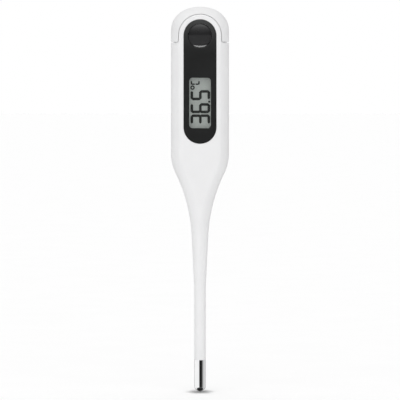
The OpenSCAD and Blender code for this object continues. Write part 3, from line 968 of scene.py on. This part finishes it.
def make_digits():
    """The reading 36.5 and its unit. It reads upwards, so a digit's top is towards -X."""
    stroke = 0.86
    digit_h = 6.36
    digit_w = 3.28
    top_x = -3.07
    thin = 0.48
    dot = 0.64
    # Bars run a little past the middles of a digit's corners
    extra = 0.55 * stroke - 0.1
    pieces = []

    def digit(start_z, lit):
        left = start_z + stroke / 2
        right = start_z + digit_w - stroke / 2
        top = top_x + stroke / 2
        bottom = top_x + digit_h - stroke / 2
        middle = (top + bottom) / 2
        across = right - left
        down = middle - top
        bars = {
            "a": (top, (left + right) / 2, across, True),
            "g": (middle, (left + right) / 2, across, True),
            "d": (bottom, (left + right) / 2, across, True),
            "f": ((top + middle) / 2, left, down, False),
            "b": ((top + middle) / 2, right, down, False),
            "e": ((middle + bottom) / 2, left, down, False),
            "c": ((middle + bottom) / 2, right, down, False),
        }
        for name in lit:
            x, z, length, along_z = bars[name]
            pieces.append(segment(x, z, length + extra, along_z, stroke))

    digit(86.9, "abcdg")
    digit(90.55, "acdefg")
    digit(94.75, "acdfg")
    # The decimal point, then the degree ring and the letter of the unit
    pieces.append(thin_plate("dot", [rounded_rect(2.98, 94.3, dot, dot, 0.12, 4)]))
    pieces.append(thin_plate("ring", [circle(-2.42, 98.85, r, 40) for r in (0.72, 0.28)]))
    for x in (-2.76, -0.34):
        pieces.append(segment(x, 100.4, 1.3, True, thin))
    for x in (-2.15, -0.95):
        pieces.append(segment(x, 99.95, 1.2, False, thin))
    first = pieces[0]
    first.name = "lcd_digits"
    with bpy.context.temp_override(
        active_object=first, object=first, selected_editable_objects=pieces, selected_objects=pieces
    ):
        bpy.ops.object.join()
    return first


# ---------------------------------------------------------------- pieces
complete(make_housing(), "main_body", white_plastic, ["housing"])
complete(make_cover(), "cover", white_plastic, ["battery_cover"])
panel_outlines = [
    stadium(panel_r, panel_low_z, button_z),
    rounded_rect(0, window_z, window_width, window_height, window_corner),
    circle(0, button_z, button_r + button_gap),
]
complete(
    plate("black_panel", panel_outlines, panel_y, panel_back_y, 0.1, 4),
    "main_body", black_gloss, ["bezel_panel"],
)
complete(make_button(), "button", button_black, ["power_button"])
complete(make_lens(), "main_body", lens_clear, ["display_window"])
complete(make_tip(), "main_body", tip_steel, ["probe_tip"])
complete(make_digits(), "main_body", segment_black)
seal = complete(make_seal(), "main_body", silicone, ["button_seal"])
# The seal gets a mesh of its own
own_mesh(seal)
dome = complete(make_dome(), "main_body", dome_steel, ["dome_switch"])
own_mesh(dome)
complete(make_can(), "main_body", cell_nickel, ["cell_can"])
complete(make_cap(), "main_body", cell_nickel, ["cell_cap"])
for name, mat in carried_over.items():
    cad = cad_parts[name]
    cad.data.materials.clear()
    cad.data.materials.append(mat)


# ---------------------------------------------------------------- camera, floor and light
view_width = 0.13
camera_distance = 1.2
aim_z = 0.0623
camera_rise = math.radians(2.2)
camera_data = bpy.data.cameras.new("camera")
camera_data.sensor_width = 36
camera_data.lens = camera_data.sensor_width * camera_distance / view_width
camera_data.clip_start = 0.1
camera_data.clip_end = 20
camera = bpy.data.objects.new("camera", camera_data)
camera.location = (
    0, -camera_distance * math.cos(camera_rise), aim_z + camera_distance * math.sin(camera_rise)
)
camera.rotation_euler = (math.radians(90) - camera_rise, 0, 0)
bpy.context.scene.collection.objects.link(camera)
bpy.context.scene.camera = camera


def make_floor():
    """Wide round floor, so bright that it runs into the white surroundings."""
    floor_r = 6000
    floor_t = 50
    floor = plate("floor", [circle(0, 0, floor_r, 128)], 0, floor_t)
    floor.data.transform(Matrix.Rotation(math.radians(-90), 4, "X"))
    floor.data.transform(Matrix.Scale(MM, 4))
    mat = material("floor_white", (0.97, 0.97, 0.97), 0.9)
    tree = mat.node_tree
    shader = tree.nodes["Principled BSDF"]
    shader.inputs["Specular IOR Level"].default_value = 0
    cloud = ramp(tree, noise(tree, 40), (0.965, 0.965, 0.965), (0.975, 0.975, 0.975))
    tree.links.new(cloud, shader.inputs["Base Color"])
    floor.data.materials.append(mat)
    floor.visible_glossy = False


def make_world():
    """White surroundings. Soft light comes most from front, back and above; reflections show a
    dark gap in front with a soft box above it, a bright side and a grey side."""
    world = bpy.data.worlds.new("studio")
    bpy.context.scene.world = world
    world.use_nodes = True
    tree = world.node_tree
    tree.nodes.clear()

    def calc(operation, *values):
        return maths(tree, operation, *values)

    def smooth(value, start, end):
        new = node(tree, "ShaderNodeMapRange", interpolation_type="SMOOTHSTEP")
        tree.links.new(value, new.inputs["Value"])
        new.inputs["From Min"].default_value = start
        new.inputs["From Max"].default_value = end
        return new.outputs["Result"]

    def smooth_angle(value, start, end):
        return smooth(value, math.radians(start), math.radians(end))

    def mix(factor, a, b):
        return calc("MULTIPLY_ADD", factor, calc("SUBTRACT", b, a), a)

    direction = node(tree, "ShaderNodeTexCoord").outputs["Generated"]
    split = node(tree, "ShaderNodeSeparateXYZ", {"Vector": direction})
    x, y, z = split.outputs

    # Soft light: strongest from above, in front and behind
    up = calc("MAXIMUM", z, 0.0)
    soft = calc("MULTIPLY_ADD", calc("MULTIPLY", y, y), 1.6, 0.06)
    soft = calc("MULTIPLY_ADD", calc("MULTIPLY", up, up), 1.12, soft)
    soft = calc("MULTIPLY", soft, calc("MULTIPLY_ADD", x, -0.1, 1.0))

    # Directions of the reflections: turn is 0 in front and grows towards +X, and tilt is the angle
    # above the horizon
    turn = calc("ARCTAN2", x, calc("MULTIPLY", y, -1.0))
    tilt = calc("ARCSINE", z)

    # Sides: bright at -X and grey at +X, another grey behind, and a little darker far down
    side = mix(smooth_angle(turn, -20, 20), 1.06, 0.74)
    away = smooth_angle(calc("ABSOLUTE", turn), 120, 150)
    side = mix(away, side, mix(smooth_angle(tilt, 5, 40), 0.5, 0.8))
    below = calc("MINIMUM", tilt, 0.0)
    below = calc("MULTIPLY", below, below)
    side = calc("MULTIPLY", side, calc("MULTIPLY_ADD", smooth(below, 0.01, 0.2), -0.15, 1.0))

    # Dark gap in front, darkest at the horizon
    gap_end = calc("SUBTRACT", 1.0, smooth_angle(turn, 29, 90))
    gap = calc("MULTIPLY", smooth_angle(turn, -22, -8), gap_end)
    dark = calc("MULTIPLY_ADD", smooth_angle(tilt, 3, 15), 0.2, 0.006)
    dark = calc("MULTIPLY_ADD", below, 1.15, dark)

    # Soft box in front, high above the horizon
    box_top = calc("SUBTRACT", 1.0, smooth_angle(tilt, 60, 66))
    box = calc("MULTIPLY", smooth_angle(tilt, 38, 46), box_top)
    near = calc("SUBTRACT", 1.0, smooth_angle(calc("ABSOLUTE", turn), 28, 55))
    shiny = mix(gap, side, dark)
    shiny = calc("MULTIPLY_ADD", calc("MULTIPLY", box, near), 6.5, shiny)

    path = node(tree, "ShaderNodeLightPath")
    light = mix(path.outputs["Is Glossy Ray"], soft, shiny)
    light = mix(path.outputs["Is Camera Ray"], light, 1.0)
    background = node(tree, "ShaderNodeBackground", {"Color": (1, 1, 1, 1), "Strength": light})
    output = node(tree, "ShaderNodeOutputWorld")
    tree.links.new(background.outputs["Background"], output.inputs["Surface"])


def flat_card(name, y, z, radius, mat):
    """Round card that lies level, centred at y and z, and that the camera doesn't see."""
    card = plate(name, [circle(0, 0, radius, 64)], -0.05, 0.0)
    card.data.transform(Matrix.Rotation(math.radians(-90), 4, "X"))
    card.data.transform(Matrix.Translation((0, y, z)))
    card.data.transform(Matrix.Scale(MM, 4))
    card.data.materials.append(mat)
    card.visible_camera = False
    return card


def make_cards():
    """A black card for the probe to reflect, and a soft round flag that deepens the shadow where
    the probe stands."""
    black = plastic("card_black", (0.01, 0.01, 0.01), (0.02, 0.02, 0.02), (0.7, 0.8))
    mirrored = flat_card("mirrored_card", -3.1, 0, 2.6, black)
    mirrored.visible_diffuse = False
    mirrored.visible_shadow = False
    veil = plastic("flag_black", (0.01, 0.01, 0.01), (0.02, 0.02, 0.02), (0.7, 0.8))
    tree = veil.node_tree
    place = node(tree, "ShaderNodeTexCoord").outputs["Object"]
    shift = node(
        tree, "ShaderNodeMapping",
        {"Vector": place, "Location": (0, 1.2 * MM, 0), "Scale": (1, 0.6, 0)},
    ).outputs["Vector"]
    away = node(tree, "ShaderNodeVectorMath", {0: shift}, operation="LENGTH").outputs["Value"]
    density = map_range(tree, away, 0.0, 5 * MM, 0.6, 0.0)
    tree.links.new(density, tree.nodes["Principled BSDF"].inputs["Alpha"])
    flag = flat_card("shadow_flag", -1.5, 0.6, 8, veil)
    flag.visible_glossy = False


make_floor()
make_cards()
make_world()
bpy.context.scene.view_settings.view_transform = "Standard"
